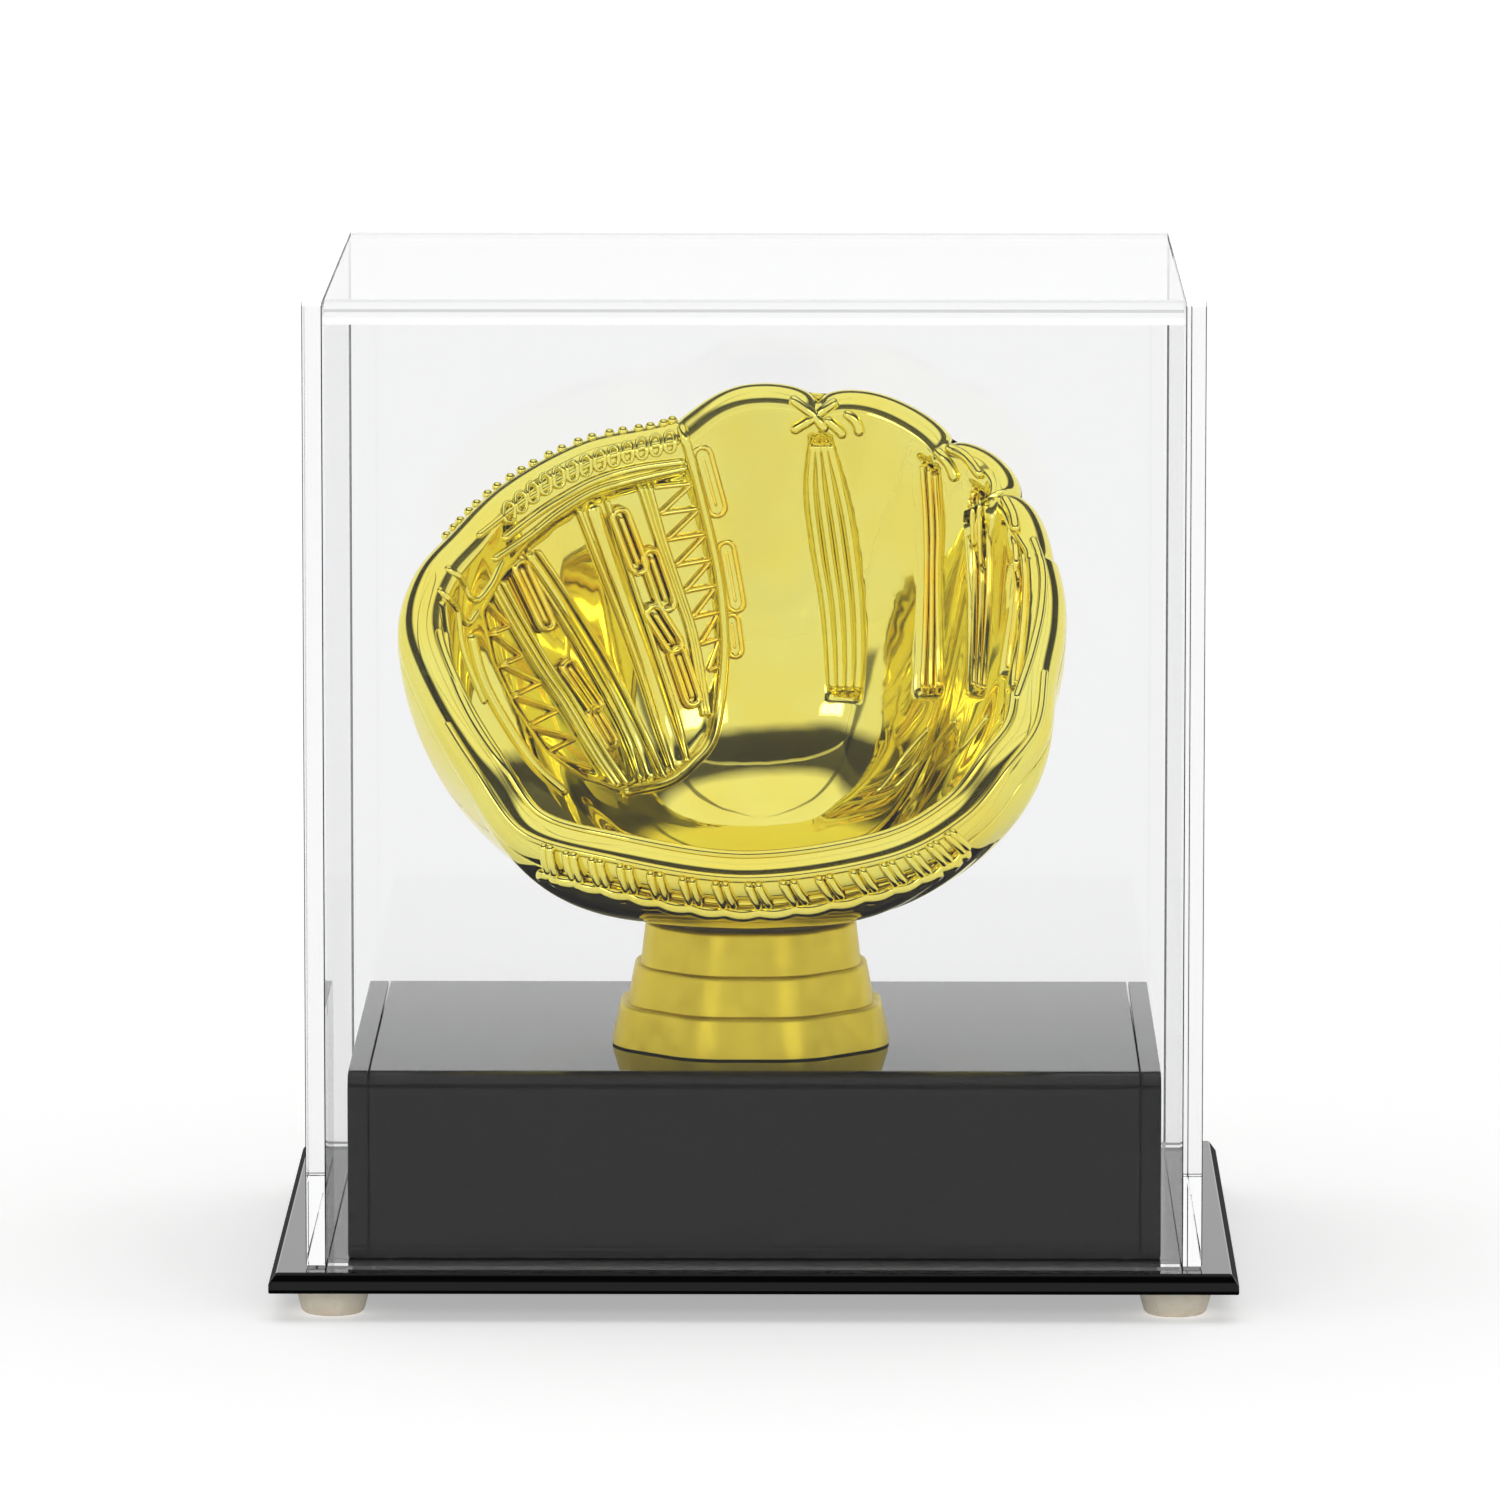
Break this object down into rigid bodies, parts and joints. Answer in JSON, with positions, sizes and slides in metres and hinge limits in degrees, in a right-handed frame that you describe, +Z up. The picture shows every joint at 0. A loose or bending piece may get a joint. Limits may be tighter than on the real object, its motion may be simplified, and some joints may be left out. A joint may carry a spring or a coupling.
{
  "type": "baseball display case",
  "caption": "Clear lift-off display cover over a black riser on a footed plate, with a gold glove on a tiered pedestal that holds one baseball.",
  "frame": {"origin": "on the table, under the middle of the base plate: the bottom of the feet is at z = 0", "axes": "+Z up, +Y towards the back of the case, +X to the right as seen from the front"},
  "size_m": [0.1524, 0.127, 0.1605],
  "materials": {
    "black_acrylic": "glossy black acrylic sheet",
    "clear_acrylic": "clear acrylic sheet, polished edges",
    "mirror_gold": "moulded plastic, vacuum plated in mirror gold",
    "satin_gold": "satin",
    "bumper": "translucent clear polyurethane bumper",
    "zinc_steel": "zinc plated steel"
  },
  "bodies": {
    "stand": {"base_plate": "black_acrylic", "foot_front_left": "bumper", "foot_front_right": "bumper", "foot_back_left": "bumper", "foot_back_right": "bumper", "riser_wrap": "black_acrylic", "riser_left_end": "black_acrylic", "riser_right_end": "black_acrylic", "pedestal": "satin_gold", "glove_palm_shell": "mirror_gold", "glove_back_shell": "mirror_gold", "mounting_bolt": "zinc_steel", "mounting_washer": "zinc_steel", "mounting_nut": "zinc_steel"},
    "cover": {"cover_wrap": "clear_acrylic", "cover_left_side": "clear_acrylic", "cover_right_side": "clear_acrylic"}
  },
  "joints": [
    {"name": "cover_lift", "type": "slide", "parent": "stand", "child": "cover", "axis": [0, 0, 1], "range_m": [0, 0.16]}
  ]
}
